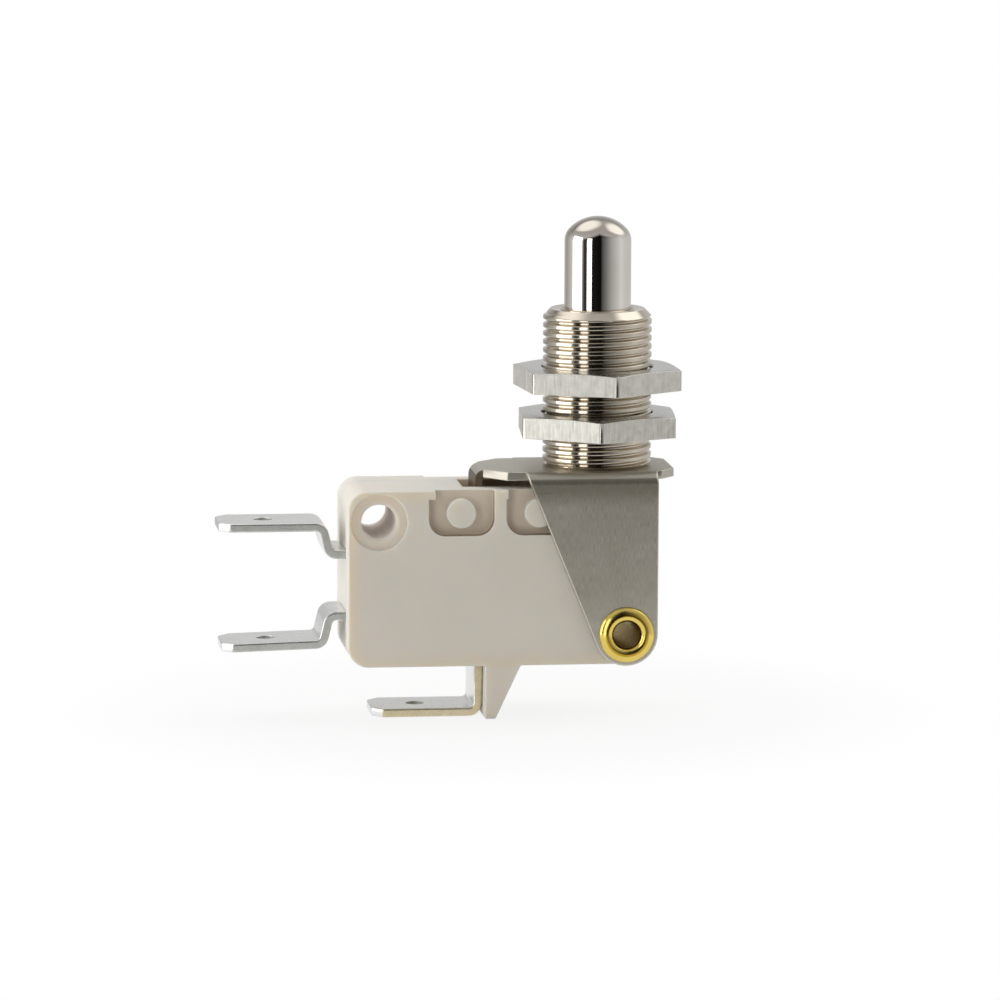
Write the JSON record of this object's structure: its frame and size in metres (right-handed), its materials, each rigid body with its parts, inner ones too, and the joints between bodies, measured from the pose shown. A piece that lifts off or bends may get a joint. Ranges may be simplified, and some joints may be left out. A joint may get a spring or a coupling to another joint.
{
  "type": "panel-mount plunger micro switch",
  "caption": "Snap-action micro switch in a cream moulded body, with a riveted bracket that carries a threaded bushing, hex nuts and a domed spring plunger, and blade terminals.",
  "frame": {"origin": "middle of the panel seat, on the bushing's axis at the top face of the lower nut", "axes": "+Z along the bushing and the plunger, away from the switch; -Y is the front face with the side recesses; the left end's terminals point along -X"},
  "size_m": [0.0417, 0.0158, 0.0448],
  "materials": {
    "cream_moulding": "matte moulded",
    "bracket_nickel": "satin nickel plate",
    "bushing_nickel": "nickel plate over a cut thread",
    "nut_nickel": "bright nickel plate",
    "polished_steel": "polished",
    "eyelet_brass": "bright",
    "tinned_brass": "tinned",
    "contact_silver": "satin silver",
    "blade_alloy": "rolled",
    "spring_wire": "drawn wire",
    "button_resin": "matte moulded"
  },
  "bodies": {
    "switch": {"housing": "cream_moulding", "cover": "cream_moulding", "common_terminal": "tinned_brass", "nc_terminal": "tinned_brass", "no_terminal": "tinned_brass", "nc_contact": "contact_silver", "no_contact": "contact_silver", "bracket": "bracket_nickel", "eyelet": "eyelet_brass", "bushing": "bushing_nickel", "spring_seat": "spring_wire", "return_spring": "spring_wire"},
    "plunger": {"plunger": "polished_steel", "pin_retainer": "eyelet_brass"},
    "push_pin": {"push_pin": "polished_steel", "overtravel_spring": "spring_wire"},
    "button": {"button": "button_resin", "snap_spring": "spring_wire"},
    "contact_blade": {"contact_blade": "blade_alloy", "moving_contact": "contact_silver"},
    "upper_nut": {"upper_nut": "nut_nickel"},
    "lower_nut": {"lower_nut": "nut_nickel"}
  },
  "joints": [
    {"name": "plunger_slide", "type": "slide", "parent": "switch", "child": "plunger", "axis": [0, 0, -1], "range_m": [0, 0.006], "stiffness_N_per_m": 300, "springref_m": -0.004, "deforming": ["return_spring", "overtravel_spring"]},
    {"name": "pin_slide", "type": "slide", "parent": "switch", "child": "push_pin", "axis": [0, 0, -1], "range_m": [0, 0.0014]},
    {"name": "button_slide", "type": "slide", "parent": "switch", "child": "button", "axis": [0, 0, -1], "range_m": [0, 0.0014], "deforming": ["snap_spring"]},
    {"name": "blade_pivot", "type": "hinge", "parent": "switch", "child": "contact_blade", "pos_m": [-0.004, 0, -0.01469], "axis": [0, -1, 0], "range_deg": [0, 3.5]},
    {"name": "upper_nut_slide", "type": "slide", "parent": "switch", "child": "upper_nut", "axis": [0, 0, 1], "range_m": [-0.0009, 0.0052]},
    {"name": "lower_nut_slide", "type": "slide", "parent": "switch", "child": "lower_nut", "axis": [0, 0, 1], "range_m": [-0.0028, 0.0009]}
  ],
  "couplings": [
    {"joint": "pin_slide", "follows": "plunger_slide", "ratio": 0.2333},
    {"joint": "button_slide", "follows": "plunger_slide", "ratio": 0.2333},
    {"joint": "blade_pivot", "follows": "plunger_slide", "rad_per_m": 10.15}
  ]
}
